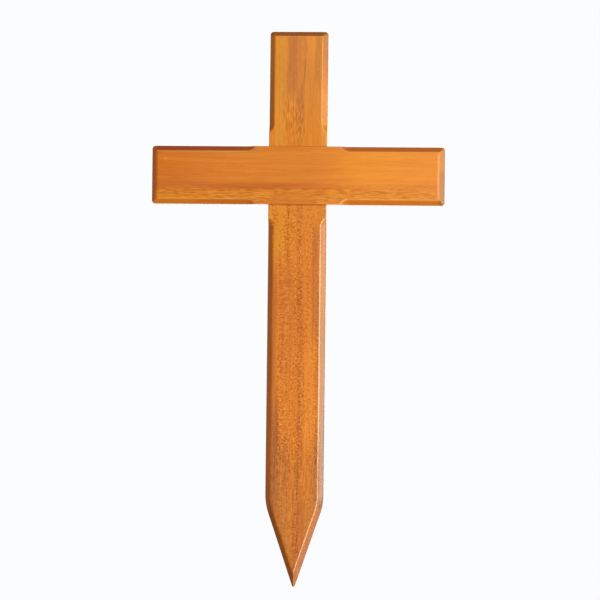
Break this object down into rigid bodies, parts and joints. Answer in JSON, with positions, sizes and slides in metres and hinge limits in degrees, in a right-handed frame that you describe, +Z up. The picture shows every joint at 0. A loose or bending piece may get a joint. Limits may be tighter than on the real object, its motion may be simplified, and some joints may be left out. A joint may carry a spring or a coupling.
{
  "type": "wooden grave cross",
  "caption": "Varnished hardwood grave cross of flat boards halved together, with stopped chamfers on the front edges and a long pointed foot for driving into the ground.",
  "frame": {"origin": "on the post's middle axis, at the ground line of the planted cross, 160 mm above the tip", "axes": "+Z runs up the post, +X to the right of a person facing the cross, and the chamfered front face looks along -Y"},
  "size_m": [0.3536, 0.022, 0.6687],
  "materials": {
    "varnished_hardwood": "honey-orange hardwood under a satin varnish, grain along each board"
  },
  "bodies": {
    "root": {"upright": "varnished_hardwood", "crossarm": "varnished_hardwood"}
  },
  "joints": []
}
